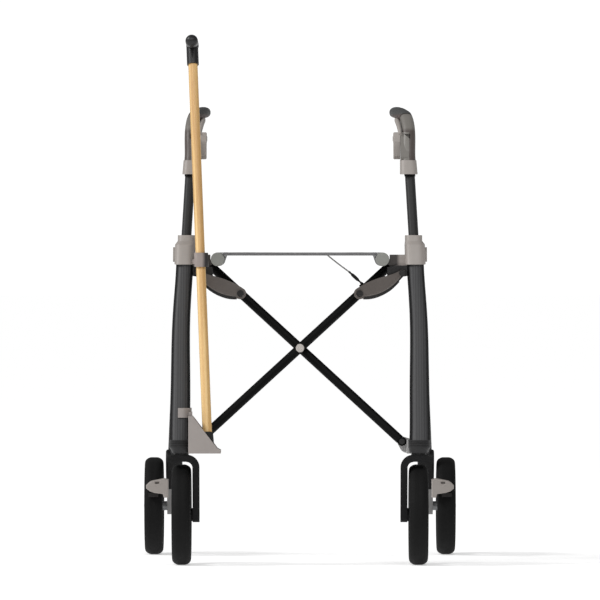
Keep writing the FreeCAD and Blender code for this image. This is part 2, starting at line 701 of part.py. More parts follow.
def seat_rail(x):
    end_y = rail_front_y + rail_length
    rail = rail_solid(x).cut(pin(x, rail_z, rail_front_y + 2, end_y - 2, rail_radius - rail_wall))
    caps = []
    for y0 in (rail_front_y, end_y - rail_cap_length):
        cap = pin(x, rail_z, y0, y0 + rail_cap_length, sleeve_radius)
        caps.append(cap.makeFillet(1.5, [e for e in cap.Edges
                                         if abs(e.BoundBox.YLength) < 0.01
                                         and min(abs(e.BoundBox.YMin - rail_front_y),
                                                 abs(e.BoundBox.YMin - end_y)) < 0.01]))
    return rail.multiFuse(caps).removeSplitter()


def cross_tube(hand, layer):
    """Round tube from its lower lug to the rail: hand +1 rises to the right."""
    low = tube_line(-below_centre, hand, layer)
    high = tube_line(above_centre + 4.0, hand, layer)
    along = high - low
    along.normalize()
    tube = rod(low + along * 6.0, high, tube_radius)
    lug = pin(low.x, low.z, low.y - tube_radius, low.y + lug_behind, tube_radius)
    t = tube_line(link_on_tube, hand, layer)
    boss = pin(t.x, t.z, boss_front_y, t.y, 7.0)
    centre = tube_line(0, hand, layer)
    ahead, behind = centre_boss_out, centre_boss_in
    if layer > 0:
        ahead, behind = behind, ahead
    middle = pin(centre.x, centre.z, centre.y - ahead, centre.y + behind, centre_boss_radius)
    shape = tube.multiFuse([lug, boss])
    mid_y = centre.y - layer
    far = math.copysign(30.0, layer)
    seat = sorted((mid_y + math.copysign(rest_gap / 2, layer), mid_y - far))
    shape = shape.cut(pin(centre.x, centre.z, seat[0], seat[1], centre_boss_radius + 1.0))
    shape = shape.multiFuse([middle])
    shape = shape.cut(rod(low + along * 18.0, centre - along * 12.0, tube_radius - tube_wall))
    shape = shape.cut(rod(centre + along * 12.0, high - along * 8.0, tube_radius - tube_wall))
    shape = shape.cut(rail_solid(hand * rail_x))
    bore = pivot_pin_radius + running_fit
    shape = shape.cut(pin(low.x, low.z, low.y - 20, low.y + 20, bore))
    return shape.cut(pin(centre.x, centre.z, centre.y - 20, centre.y + 20, bore))


def centre_pivot():
    """Bolt through both tubes at the crossing, with a round cap in front."""
    front = tube_line(0, 1, -tube_layer).y - centre_boss_out
    back = tube_line(0, 1, tube_layer).y + centre_boss_out + rest_gap
    shaft = pin(0, centre_z, front - 1, back + 4.0, pivot_pin_radius)
    cap = pin(0, centre_z, front - 4.0, front, centre_boss_radius)
    cap = cap.makeFillet(1.5, [e for e in cap.Edges if e.BoundBox.YMax < front - 3.9])
    nut = pin(0, centre_z, back, back + 4.0, 6.5)
    return shaft.multiFuse([cap, nut]).removeSplitter()


def seat_fabric():
    """Flat panel with a sleeve round each rail."""
    y0 = rail_front_y + rail_cap_length + 1.0
    y1 = rail_front_y + rail_length - rail_cap_length - 1.0
    panel = box(-rail_x, rail_x, y0, y1, seat_top_z - seat_cloth * 1.6, seat_top_z)
    sleeves = [pin(s * rail_x, rail_z, y0, y1, sleeve_radius) for s in (-1, 1)]
    body = panel.multiFuse(sleeves)
    for s in (-1, 1):
        body = body.cut(pin(s * rail_x, rail_z, y0 - 1, y1 + 1, rail_radius + 0.3))
        tube = rod(tube_line(0, s, -s * tube_layer), tube_line(above_centre + 20, s, -s * tube_layer),
                   tube_radius + rest_gap)
        body = body.cut(tube)
    return body.removeSplitter()


def link():
    """Crescent plate from the side frame's ear to the cross tube, with its stub on the tube side."""
    along = V(link_pivot_x - link_foot_x, 0, link_pivot_z - link_foot_z)
    along.normalize()
    up = V(-along.z, 0, along.x)
    foot = V(link_foot_x, link_front_y, link_foot_z)

    def at(s, n):
        return foot + along * s + up * n

    eye = link_length
    upper = Part.BSplineCurve()
    upper.interpolate([at(0, link_foot_radius), at(eye * 0.3, 12.3), at(eye * 0.55, 10.0),
                       at(eye * 0.8, 6.2), at(eye, link_eye_radius)])
    lower = Part.BSplineCurve()
    lower.interpolate([at(eye, -link_eye_radius), at(eye * 0.68, -16.0), at(eye * 0.3, -18.5),
                       at(0, -link_foot_radius)])
    outline = Part.Wire([
        upper.toShape(),
        Part.Arc(at(eye, link_eye_radius), at(eye + link_eye_radius, 0),
                 at(eye, -link_eye_radius)).toShape(),
        lower.toShape(),
        Part.Arc(at(0, -link_foot_radius), at(-link_foot_radius, 0), at(0, link_foot_radius)).toShape(),
    ])
    plate = prism(outline, V(0, link_thickness, 0))
    stub = pin(link_foot_x, link_foot_z, link_back_y - 1, boss_front_y - rest_gap, 5.0)
    cap = pin(link_foot_x, link_foot_z, link_front_y - 2.0, link_front_y + 1, 6.5)
    plate = plate.multiFuse([stub, cap]).removeSplitter()
    return plate.cut(pin(link_pivot_x, link_pivot_z, link_front_y - 1, link_back_y + 1,
                         pivot_pin_radius + running_fit))


# ---- fold strap ---------------------------------------------------------------------------------
cord_seat_end = V(48.0, cord_y, seat_top_z - 1.5)
cord_toggle_top = V(95.0, cord_y, 553.0)


def cord_anchor_point():
    """Top of the strap's tab, on the upper side of the right-hand cross tube."""
    spot = tube_line(link_on_tube + 14.0, 1, -tube_layer)
    return V(spot.x - (tube_radius + 3.0) * math.sin(tube_angle), cord_y,
             spot.z + (tube_radius + 3.0) * math.cos(tube_angle))


def cord_anchor(tube):
    top = cord_anchor_point()
    spot = tube_line(link_on_tube + 14.0, 1, -tube_layer)
    tab = rod(V(spot.x, cord_y, spot.z), top, 5.0)
    return tab.cut(rod(tube_line(0, 1, -tube_layer), tube_line(above_centre, 1, -tube_layer), tube_radius))


def cord():
    return rod(cord_seat_end, cord_toggle_top, cord_radius)


def cord_toggle():
    return rod(cord_toggle_top, cord_anchor_point(), toggle_radius)


# ---- cane and its holder ------------------------------------------------------------------------
def on_cane(z):
    up = z - cup_floor_z
    return V(cane_foot_x + cane_lean_x * up, leg_y(cup_floor_z) - cane_ahead + cane_lean_y * up, z)


def cane_step(height):
    return V(cane_lean_x * height, cane_lean_y * height, height)


shaft_top_z = cane_top_z - 2 * cane_handle_radius - cane_socket_height


def cane_bottom():
    lean = math.hypot(cane_lean_y, cane_lean_x)
    drop = cane_tip_radius * lean / math.sqrt(1 + lean ** 2)
    return cup_floor_z + 0.6 + drop


def cane_shaft():
    return rod(on_cane(cane_bottom() + 5.0), on_cane(shaft_top_z + 10.0), cane_radius)


def cane_tip(shaft):
    z0 = cane_bottom()
    lower = Part.makeCone(cane_tip_radius, cane_radius + 2.2, tip_height, on_cane(z0), cane_step(1))
    return lower.cut(shaft)


def cane_handle(shaft):
    top = on_cane(cane_top_z - cane_handle_radius)
    socket = rod(on_cane(shaft_top_z), on_cane(cane_top_z - cane_handle_radius), cane_handle_radius - 0.6)
    bar = rod(top - V(0, cane_bar_front, 0), top + V(0, cane_bar_back, -6.0), cane_handle_radius)
    front = Part.makeSphere(cane_handle_radius, top - V(0, cane_bar_front, 0))
    back = Part.makeSphere(cane_handle_radius, top + V(0, cane_bar_back, -6.0))
    return socket.multiFuse([bar, front, back]).removeSplitter().cut(shaft)


def cane_cup(leg_shape, cap_shape):
    """Scoop that the cane stands in, with a band round the leg's inner half."""
    x0, x1 = cup_outer_x, cup_inner_x
    z0, z1 = cup_floor_z - cup_wall, cup_top_z
    y0, y1 = on_cane(z0).y - 18.0, on_cane(z1).y + 20.0
    lip_z = cup_floor_z + 2.0
    side = polygon([V(x0 + 6, y0, z0), V(x1, y0, z0), V(x1, y0, lip_z), V(x1 + 6, y0, lip_z + 3),
                    V(x0 - 2, y0, z1), V(x0 + 6, y0, z1)])
    outer = prism(side, V(0, y1 - y0, 0))
    pocket = box(x1 + cup_wall, x0 - cup_wall, y0 + cup_wall, y1 - cup_wall, cup_floor_z, z1 + 9)
    scoop = outer.cut(pocket)
    band_z = cup_top_z - 4.0
    middle = V(leg_x(band_z), leg_y(band_z), band_z)
    band = prism(oval(middle, leg_width_foot / 2 + 1.6, leg_depth_foot / 2 + 2.5), V(0, leg_lean_y * 18, 18))
    band = band.common(box(150, middle.x + 4.0, -400, 0, 0, 400))
    tab = box(x0 - 0.5, x0 + 6, y1 - 22.0, middle.y - 1.0, band_z - 17.0, band_z + 11.0)
    return scoop.multiFuse([band, tab]).cut(leg_shape).cut(cap_shape)


def cane_clip(collar_shape):
    z0, height = collar_bottom_z - 8.0, 21.0
    spot = on_cane(z0)
    ring = prism(oval(V(spot.x - 1.5, spot.y, z0), 13.5, 13.5, squareness=3.0), cane_step(height))
    arm = box(spot.x + 4, post_x(z0) - 3.0, spot.y + 4, link_front_y - rest_gap,
              collar_bottom_z + 0.5, z0 + 18)
    clip = ring.fuse(arm).cut(collar_shape)
    return clip.cut(rod(on_cane(z0 - 10), on_cane(z0 + height + 10), cane_radius + rest_gap))


# ---- the walker ---------------------------------------------------------------------------------
def build_side(side):
    layer = tube_layer if side == "right" else -tube_layer
    leg_shape = leg_solid()
    collar_shape = collar_outer()
    cap_shape = cap_solid()
    rear = rear_leg(leg_shape)
    post = handle_post()
    keep_side("front_leg", side, front_leg(leg_shape))
    keep_side("leg_cap", side, leg_cap(cap_shape))
    keep_side("collar", side, collar(collar_shape))
    keep_side("rear_leg", side, rear)
    keep_side("rear_arm", side, dropout(rear))
    keep_side("rear_axle", side, rear_axle())
    keep_side("brake_housing", side, brake_housing())
    keep_side("hinge_bracket", side, hinge_bracket(layer).cut(cap_shape).cut(leg_shape))
    keep_side("seat_bracket", side, seat_bracket(collar_shape, leg_shape))
    keep_side("height_button", side, button_block(0, button_depth))
    keep_side("brake_pad", side, brake_pad())
    keep_side("handle_post", side, post)
    keep_side("handle_collar", side, handle_collar(post))
    keep_side("handle_shell", side, handle_shell().cut(post))
    keep_side("grip", side, grip())
    keep_side("brake_lever", side, brake_lever())
    keep_side("fork", side, fork())
    keep_side("front_axle", side, front_axle())
    keep_side("front_rim", side, rim(front_wheel_x, front_axle_y, front_hub_half, axle_radius))
    keep_side("front_tyre", side, tyre(front_wheel_x, front_axle_y))
    keep_side("rear_rim", side, rim(rear_wheel_x, rear_axle_y, rear_hub_half, rear_axle_radius))
    keep_side("rear_tyre", side, tyre(rear_wheel_x, rear_axle_y))
    keep_side("link", side, link())
    return leg_shape, collar_shape, cap_shape


def build():
    build_side("right")
    leg_shape, collar_shape, cap_shape = build_side("left")
    keep("tube_rising_right", cross_tube(1, -tube_layer))
    keep("tube_rising_left", cross_tube(-1, tube_layer))
    keep("centre_pivot", centre_pivot())
    keep("right_seat_rail", seat_rail(rail_x))
    keep("left_seat_rail", seat_rail(-rail_x))
    keep("seat_fabric", seat_fabric())
    keep("fold_cord", cord())
    keep("cord_toggle", cord_toggle())
    keep("cord_anchor", cord_anchor(nodes["tube_rising_right"]))
    shaft = cane_shaft()
    keep("cane_shaft", mirrored(shaft))
    keep("cane_tip", mirrored(cane_tip(shaft)))
    keep("cane_handle", mirrored(cane_handle(shaft)))
    keep("cane_cup", mirrored(cane_cup(leg_shape, cap_shape)))
    keep("cane_clip", mirrored(cane_clip(collar_shape)))


build()
os.makedirs("parts", exist_ok=True)
for name, shape in nodes.items():
    shape.exportStep("parts/" + name + ".step")
    bb = shape.BoundBox
    print("%-22s solids %d valid %s  x %7.1f %7.1f  y %7.1f %7.1f  z %7.1f %7.1f  vol %9.0f" % (
        name, len(shape.Solids), shape.isValid(), bb.XMin, bb.XMax, bb.YMin, bb.YMax, bb.ZMin, bb.ZMax,
        shape.Volume))
print(len(nodes), "nodes")
print("tube angle %.3f centre z %.2f below %.2f above %.2f pivot z %.2f slope %.4f" % (
    math.degrees(tube_angle), centre_z, below_centre, above_centre, tube_pivot_z, tube_slope))
print("link on tube %.2f foot (%.2f, %.2f) length %.2f" % (link_on_tube, link_foot_x, link_foot_z, link_length))
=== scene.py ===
import math

import bmesh
import bpy
from mathutils import Matrix, Vector


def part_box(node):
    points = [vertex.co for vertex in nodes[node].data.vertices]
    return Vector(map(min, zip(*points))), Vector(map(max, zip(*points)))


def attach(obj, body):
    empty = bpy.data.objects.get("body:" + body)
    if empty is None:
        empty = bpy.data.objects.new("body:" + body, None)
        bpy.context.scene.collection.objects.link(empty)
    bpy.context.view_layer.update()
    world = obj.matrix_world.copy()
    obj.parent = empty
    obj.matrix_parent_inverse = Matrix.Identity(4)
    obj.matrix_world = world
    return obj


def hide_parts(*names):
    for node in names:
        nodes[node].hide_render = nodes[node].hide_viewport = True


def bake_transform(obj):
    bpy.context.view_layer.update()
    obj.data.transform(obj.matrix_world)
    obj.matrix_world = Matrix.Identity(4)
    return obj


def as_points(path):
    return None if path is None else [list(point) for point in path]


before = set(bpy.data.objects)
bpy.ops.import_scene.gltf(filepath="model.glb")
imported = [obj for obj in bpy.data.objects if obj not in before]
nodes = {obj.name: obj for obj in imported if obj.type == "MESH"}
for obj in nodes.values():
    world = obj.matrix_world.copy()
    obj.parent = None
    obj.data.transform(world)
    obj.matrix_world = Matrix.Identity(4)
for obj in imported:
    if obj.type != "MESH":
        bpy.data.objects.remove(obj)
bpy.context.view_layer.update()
scene = bpy.context.scene
sides = (("left", -1), ("right", 1))


# ---- Camera -------------------------------------------------------------------------------------
# Straight on from the front, at about seat height, and far enough away that the two side frames
# run nearly parallel.
camera = bpy.data.objects.new("camera", bpy.data.cameras.new("camera"))
camera.location = (0.0, -13.74, 0.587)
camera.rotation_euler = (math.radians(90 - 0.365), 0, 0)
camera.data.sensor_width = 36.0
camera.data.lens = 428.2
camera.data.clip_end = 300.0
scene.collection.objects.link(camera)
scene.camera = camera
scene.view_settings.view_transform = "Standard"


# ---- Studio floor and light ---------------------------------------------------------------------
# A plain white sweep. A broad sun from the left throws the soft shadows to the right, a lamp ahead
# and above lays the grey band on the legs, whose dark sides are painted shade in the carbon's
# colour, and the room itself is dimmer than the floor.
class Wire:
    """An output of a shader node that can be added, multiplied and compared as a number is."""

    def __init__(self, tree, socket):
        self.tree = tree
        self.socket = socket

    @classmethod
    def node(cls, tree, kind, settings=None, inputs=None, output=0):
        made = tree.nodes.new("ShaderNode" + kind)
        for name, value in (settings or {}).items():
            if name == "stops":
                ramp = made.color_ramp
                while len(ramp.elements) < len(value):
                    ramp.elements.new(0.5)
                for element, (place, colour) in zip(ramp.elements, value):
                    element.position, element.color = place, (*colour, 1.0)
            else:
                setattr(made, name, value)
        for key, value in (inputs or {}).items():
            if isinstance(value, Wire):
                tree.links.new(value.socket, made.inputs[key])
            else:
                made.inputs[key].default_value = value
        return cls(tree, made.outputs[output])

    def calc(self, operation, *others, first=None):
        """A Math node of this wire and the others, or of first and this wire."""
        terms = (self, *others) if first is None else (first, self)
        return Wire.node(self.tree, "Math", {"operation": operation}, dict(enumerate(terms)))

    def clamp(self):
        """Held between 0 and 1."""
        return self.calc("MAXIMUM", 0.0).calc("MINIMUM", 1.0)

    def __add__(self, other):
        return self.calc("ADD", other)

    def __sub__(self, other):
        return self.calc("SUBTRACT", other)

    def __rsub__(self, other):
        return self.calc("SUBTRACT", first=other)

    def __mul__(self, other):
        return self.calc("MULTIPLY", other)

    def __truediv__(self, other):
        return self.calc("DIVIDE", other)

    def __pow__(self, other):
        return self.calc("POWER", other)

    def __mod__(self, other):
        return self.calc("FLOORED_MODULO", other)

    def __gt__(self, other):
        return self.calc("GREATER_THAN", other)

    def __lt__(self, other):
        return self.calc("LESS_THAN", other)

    def __abs__(self):
        return self.calc("ABSOLUTE")

    __radd__ = __add__
    __rmul__ = __mul__


world = bpy.data.worlds.new("studio")
scene.world = world
world.use_nodes = True
sky = world.node_tree
sky.nodes.clear()
backdrop = Wire.node(sky, "Background", {}, {"Color": (1, 1, 1, 1), "Strength": 1.05})
room = Wire.node(sky, "Background", {}, {"Color": (1, 1, 1, 1), "Strength": 0.3})
seen = Wire.node(sky, "LightPath", output="Is Camera Ray")
shown = Wire.node(sky, "MixShader", {}, {0: seen, 1: room, 2: backdrop})
sky.links.new(shown.socket, sky.nodes.new("ShaderNodeOutputWorld").inputs[0])


def lamp(name, kind, place, aim, energy, **settings):
    data = bpy.data.lights.new(name, kind)
    data.energy = energy
    for key, value in settings.items():
        setattr(data, key, value)
    made = bpy.data.objects.new(name, data)
    made.location = place
    made.rotation_euler = (Vector(aim) - Vector(place)).to_track_quat("-Z", "Y").to_euler()
    scene.collection.objects.link(made)


lamp("sun_left", "SUN", (-3.0, -0.6, 2.4), (0, 0, 0), 1.7, angle=math.radians(18))
lamp("lamp_ahead", "AREA", (0, -4.0, 4.4), (0, -0.2, 0.4), 110, shape="RECTANGLE", size=6.0, size_y=1.6)

floor_mesh = bpy.data.meshes.new("floor")
floor_mesh.from_pydata([(-90, -90, 0), (90, -90, 0), (90, 90, 0), (-90, 90, 0)], [], [(0, 1, 2, 3)])
floor = bpy.data.objects.new("floor", floor_mesh)
scene.collection.objects.link(floor)


class Finish:
    """A material: constants on its shader's own sockets, and wires for what changes over it."""

    def __init__(self, name, constants):
        self.material = bpy.data.materials.new(name)
        self.material.use_nodes = True
        self.tree = self.material.node_tree
        self.shader = self.tree.nodes["Principled BSDF"]
        for socket, value in constants.items():
            self.shader.inputs[socket].default_value = value

    def node(self, kind, settings=None, inputs=None, output=0):
        return Wire.node(self.tree, kind, settings, inputs, output)

    def place(self):
        return self.node("TexCoord", output="Object")

    def split(self, vector):
        return [self.node("SeparateXYZ", {}, {0: vector}, i) for i in range(3)]

    def stretch(self, vector, factors):
        return self.node("VectorMath", {"operation": "MULTIPLY"}, {0: vector, 1: factors})

    def noise(self, scale, detail=3.0, vector=None):
        return self.node("TexNoise", {}, {"Vector": vector or self.place(), "Scale": scale,
                                          "Detail": detail})

    def mix(self, share, first, second):
        return self.node("Mix", {"data_type": "RGBA"}, {0: share, 6: first, 7: second}, 2)

    def feed(self, **wires):
        for name, wire in wires.items():
            self.tree.links.new(wire.socket, self.shader.inputs[name.replace("_", " ")])

    def relief(self, height, depth):
        """Raises the surface by height times depth, in metres."""
        bump = self.node("Bump", {}, {"Height": height, "Distance": depth, "Strength": 1.0})
        self.feed(Normal=bump)


def tint(red, green, blue):
    """A colour as a paint chart gives it, 0 to 255, as the shader's linear one."""
    return tuple(((c / 255 + 0.055) / 1.055) ** 2.4 if c > 10 else c / 3294.6
                 for c in (red, green, blue)) + (1.0,)


paper = Finish("floor_paper", {"Base Color": (0.93, 0.93, 0.93, 1), "Roughness": 0.9,
                               "Specular IOR Level": 0.0, "Emission Color": (1, 1, 1, 1),
                               "Emission Strength": 0.41})
floor_mesh.materials.append(paper.material)


# ---- Fold cord ----------------------------------------------------------------------------------
# A thin braided cord from the seat's underside to a tab on the right-hand cross tube, pulled taut
# while the seat is open. Its lower part runs in a stiff dark sleeve, crimped over a small eye.
def sweep(name, route, radius, swell=None, turns=10):
    """Tube mesh along a smooth line near the route's points, and that line. Swell scales its radius."""
    curve = bpy.data.curves.new(name, "CURVE")
    curve.dimensions = "3D"
    spline = curve.splines.new("NURBS")
    spline.points.add(len(route) - 1)
    for point, spot, share in zip(spline.points, route, swell or [1.0] * len(route)):
        point.co = (*spot, 1.0)
        point.radius = share
    spline.order_u = 3
    spline.use_endpoint_u = True
    spline.resolution_u = 12
    holder = bpy.data.objects.new(name, curve)
    line = bpy.data.meshes.new_from_object(holder)
    path = [v.co.copy() for v in line.vertices]
    curve.bevel_depth = radius
    curve.bevel_resolution = turns
    curve.use_fill_caps = True
    mesh = bpy.data.meshes.new_from_object(holder)
    mesh.name = name
    mesh.shade_smooth()
    mesh.set_sharp_from_angle(angle=math.radians(50))
    bpy.data.objects.remove(holder)
    return mesh, path


def place_piece(name, mesh, finish, body=None):
    """Puts a mesh in the scene as a piece with its finish, on its body's empty when a body is given."""
    piece = bpy.data.objects.new(name, mesh)
    scene.collection.objects.link(piece)
    mesh.materials.clear()
    mesh.materials.append(finish.material)
    if body:
        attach(piece, body)
    return piece


def braid(name, light, dark, pitch, thickness):
    """Strands that cross each other round a cord that slants down to the right."""
    finish = Finish(name, {"Roughness": 0.85, "Specular IOR Level": 0.2})
    x, y, z = finish.split(finish.place())
    along = (x * 0.79 - z * 0.61) / pitch
    round_it = (y + z * 0.6 + x * 0.4) / thickness
    left = ((along + round_it) * math.pi).calc("SINE")
    right = ((along - round_it) * math.pi).calc("SINE")
    strands = abs(left * right) ** 0.5
    fuzz = finish.noise(2500, 2)
    finish.feed(Base_Color=finish.mix(strands * (0.6 + fuzz * 0.4), dark, light))
    finish.relief(strands + fuzz * 0.3, 0.0003)
    return finish


cord_top = (0.048, -0.095, 0.5895)
toggle_top = (0.095, -0.095, 0.553)
cord_foot = (0.1205, -0.095, 0.5295)
cord_mesh, cord_path = sweep("seat_cord", [
    cord_top, (0.0635, -0.0952, 0.5765), (0.080, -0.0954, 0.5640), toggle_top], 0.0014)
cord_grey = braid("cord_braid", tint(196, 195, 193), tint(120, 119, 118), 0.0016, 0.0014)
seat_cord = place_piece("seat_cord", cord_mesh, cord_grey)
sleeve_mesh, _ = sweep("cord_sleeve", [
    (0.0930, -0.0953, 0.5544), toggle_top, (0.0985, -0.095, 0.5498), (0.1000, -0.095, 0.5484),
    (0.1048, -0.095, 0.5440), (0.1105, -0.095, 0.5387), (0.1120, -0.095, 0.5373),
    (0.1160, -0.095, 0.5337), cord_foot], 0.0031, (0.48, 0.5, 0.6, 1.0, 1.05, 1.0, 0.6, 0.5, 0.5))
sleeve_black = braid("cord_sleeve_braid", tint(62, 61, 62), tint(24, 24, 25), 0.0022, 0.003)
cord_sleeve = place_piece("cord_sleeve", sleeve_mesh, sleeve_black)
crimps = bmesh.new()
down = (Vector(cord_foot) - Vector(toggle_top)).normalized()
for share, radius, long in ((0.0, 0.0021, 0.003), (0.88, 0.0024, 0.004)):
    middle = Vector(toggle_top).lerp(Vector(cord_foot), share)
    turn = Vector((0, 0, 1)).rotation_difference(down).to_matrix().to_4x4()
    bmesh.ops.create_cone(crimps, cap_ends=True, segments=28, radius1=radius, radius2=radius,
                          depth=long, matrix=Matrix.Translation(middle) @ turn)
crimp_mesh = bpy.data.meshes.new("cord_crimps")
crimps.to_mesh(crimp_mesh)
crimp_mesh.shade_smooth()
crimp_mesh.set_sharp_from_angle(angle=math.radians(40))
crimp_black = Finish("crimp_black", {"Roughness": 0.4, "Base Color": tint(30, 30, 31)})
crimp_black.relief(crimp_black.noise(900), 0.0001)
cord_crimps = place_piece("cord_crimps", crimp_mesh, crimp_black)
cord_length = sum((b - a).length for a, b in zip(cord_path, cord_path[1:]))
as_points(cord_path)
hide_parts("fold_cord")
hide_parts("cord_toggle")
for piece in (seat_cord, cord_sleeve, cord_crimps):
    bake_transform(piece)


# ---- Seat ---------------------------------------------------------------------------------------
# One length of grey woven polyester, stretched between the rails. Each side wraps its rail as a
# sleeve, notched where the cross tube meets the rail, and the front and rear edges are hemmed.
rail_x, sleeve_radius = 0.157, 0.0125
low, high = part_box("seat_fabric")
seat_front, seat_back, seat_top = low[1], high[1], high[2]
rail_z = seat_top - 0.0131
cloth = 0.0012


def weave(name, colour, thread):
    """Plain weave of round threads, seen from above and below alike."""
    finish = Finish(name, {"Roughness": 0.82, "Specular IOR Level": 0.25, "Sheen Weight": 0.25,
                           "Sheen Roughness": 0.5})
    x, y, z = finish.split(finish.place())
    warp, weft = (x + z) / thread, y / thread
    over = ((warp.calc("FLOOR") + weft.calc("FLOOR")) % 2) > 0.5
    warp_in, weft_in = warp.calc("FRACT") - 0.5, weft.calc("FRACT") - 0.5
    warp_thread = 1 - warp_in * warp_in * 4
    weft_thread = 1 - weft_in * weft_in * 4
    height = over * warp_thread + (1 - over) * weft_thread
    slub = finish.noise(70, 4, finish.stretch(finish.place(), (1, 7, 1)))
    mottle = finish.noise(14, 5)
    shade = (0.66 + height * 0.2) * (0.72 + slub * 0.34 + mottle * 0.2)
    finish.feed(Base_Color=finish.mix(shade, tint(30, 30, 31), colour),
                Roughness=0.74 + slub * 0.18)
    finish.relief(height + slub * 0.4, 0.00022)
    return finish


seat_grey = weave("seat_weave", tint(134, 133, 134), 0.0011)
seam_x = rail_x - 0.0165


def sleeve_profile(side):
    """From the seam under the panel, round the rail, to the top of the sleeve."""
    line = [(side * seam_x, seat_top - 0.0021 - cloth / 2)]
    for i in range(27):
        a = math.radians(-163 + i * 253 / 26)
        line.append((side * (rail_x + sleeve_radius * math.cos(a)), rail_z + sleeve_radius * math.sin(a)))
    return line


right_line = sleeve_profile(1)
panel_z = seat_top - cloth / 2
across = [(rail_x - 2 * rail_x * i / 72, panel_z) for i in range(1, 72)]
profile = right_line + across + sleeve_profile(-1)[::-1]
rows = 76
cut_front, cut_depth = seat_front + 0.002, seat_back - seat_front - 0.004
seat_bm = bmesh.new()
grid = []
for j in range(rows + 1):
    y = cut_front + cut_depth * j / rows
    edge = min(1.0, min(j, rows - j) / 5)
    line = []
    for x, z in profile:
        open_part = max(0.0, 1 - (abs(x) / (rail_x - 0.006)) ** 2) if abs(z - panel_z) < 1e-6 else 0.0
        sag = 0.0007 * open_part * edge
        pucker = 0.00025 * math.sin(y * 390 + 1.3 * math.sin(x * 60)) * open_part * (1 - open_part) * 4
        line.append(seat_bm.verts.new((x, y, z - sag + pucker)))
    grid.append(line)
last = len(profile) - 1
right_tube_y, left_tube_y, notch_half = -0.0805, -0.0595, 0.0135
for j in range(rows):
    y = cut_front + cut_depth * (j + 0.5) / rows
    for i in range(last):
        x = (profile[i][0] + profile[i + 1][0]) / 2
        z = (profile[i][1] + profile[i + 1][1]) / 2
        at_tube = abs(y - (right_tube_y if x > 0 else left_tube_y)) < notch_half
        if at_tube and (z < rail_z - 0.001 or abs(x) < seam_x + 0.009 and z < panel_z - 0.0008):
            continue
        seat_bm.faces.new((grid[j][i], grid[j][i + 1], grid[j + 1][i + 1], grid[j + 1][i]))
bmesh.ops.delete(seat_bm, geom=[v for v in seat_bm.verts if not v.link_faces], context="VERTS")
seat_mesh = bpy.data.meshes.new("seat_cloth")
seat_bm.to_mesh(seat_mesh)
seat = place_piece("seat_cloth", seat_mesh, seat_grey)
thick = seat.modifiers.new("thickness", "SOLIDIFY")
thick.thickness, thick.offset = cloth, 0.0
seat.data = bpy.data.meshes.new_from_object(seat.evaluated_get(bpy.context.evaluated_depsgraph_get()))
seat.modifiers.clear()
seat.data.shade_smooth()
seat.data.set_sharp_from_angle(angle=math.radians(45))
cut_width = sum(math.dist(a, b) for a, b in zip(profile, profile[1:]))
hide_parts("seat_fabric")


def flat_bar(name, start, end, half_width, half_height, finish, segments=60):
    """A soft-edged strip of folded cloth from start to end, along X."""
    made = bmesh.new()
    rings = []
    for i in range(segments + 1):
        centre = Vector(start).lerp(Vector(end), i / segments)
        ring = []
        for k in range(16):
            a = 2 * math.pi * k / 16
            c, s = math.cos(a), math.sin(a)
            ring.append(made.verts.new(centre + Vector((
                0, half_width * math.copysign(abs(c) ** 0.6, c),
                half_height * math.copysign(abs(s) ** 0.8, s)))))
        rings.append(ring)
    for one, two in zip(rings, rings[1:]):
        for k in range(16):
            made.faces.new((one[k], two[k], two[k - 1], one[k - 1]))
    made.faces.new(rings[0][::-1])
    made.faces.new(rings[-1])
    bmesh.ops.recalc_face_normals(made, faces=made.faces)
    mesh = bpy.data.meshes.new(name)
    made.to_mesh(mesh)
    mesh.shade_smooth()
    mesh.set_sharp_from_angle(angle=math.radians(60))
    return place_piece(name, mesh, finish)


hem_finish = weave("hem_weave", tint(122, 121, 122), 0.0009)
hem_z = seat_top - 0.0030
hem_x = seam_x + 0.007
hems = [flat_bar(name, (hem_x, y, hem_z), (-hem_x, y, hem_z), 0.0040, 0.0030, hem_finish)
        for name, y in (("seat_hem_front", seat_front + 0.0035), ("seat_hem_back", seat_back - 0.0035))]
thread_grey = Finish("stitch_thread", {"Roughness": 0.6, "Sheen Weight": 0.3})
thread_grey.feed(Base_Color=thread_grey.mix(thread_grey.noise(1800), tint(112, 111, 112),
                                            tint(158, 157, 156)))
thread_grey.relief(thread_grey.noise(3000), 0.0001)
stitches = bmesh.new()


def stitch_row(start, end, pitch):
    run = Vector(end) - Vector(start)
    count = round(run.length / pitch)
    turn = Vector((1, 0, 0)).rotation_difference(run.normalized()).to_matrix().to_4x4()
    shape = Matrix.Diagonal((pitch * 0.36, 0.0004, 0.00028, 1))
    for k in range(count):
        spot = Vector(start) + run * ((k + 0.5) / count)
        bmesh.ops.create_icosphere(stitches, subdivisions=1, radius=1.0,
                                   matrix=Matrix.Translation(spot) @ turn @ shape)


stitch_z, stitch_pitch = seat_top + 0.0001, 0.0042
for side in (-1, 1):
    for inset in (0.0, 0.004):
        x = side * (seam_x + inset)
        stitch_row((x, seat_front + 0.004, stitch_z), (x, seat_back - 0.004, stitch_z), stitch_pitch)
for y in (seat_front + 0.0085, seat_back - 0.0085):
    stitch_row((-seam_x, y, stitch_z - 0.0003), (seam_x, y, stitch_z - 0.0003),
               stitch_pitch)
stitch_mesh = bpy.data.meshes.new("seat_stitches")
stitches.to_mesh(stitch_mesh)
stitch_mesh.shade_smooth()
seat_stitches = place_piece("seat_stitches", stitch_mesh, thread_grey)
for piece in [seat, seat_stitches] + hems:
    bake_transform(piece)


# ---- Carbon legs --------------------------------------------------------------------------------
# The front and rear legs are hollow shells of carbon cloth in a satin lacquer, laid in twill and
# cured in a mould. The rear leg leaves the front one in an arch and is bonded to it.
def dress(names, finish):
    """Gives CAD nodes their finish, on both sides where the name has no side."""
    for name in names:
        for whole in ([name] if name in nodes else ["left_" + name, "right_" + name]):
            for held in nodes[whole].material_slots:
                held.material = finish.material


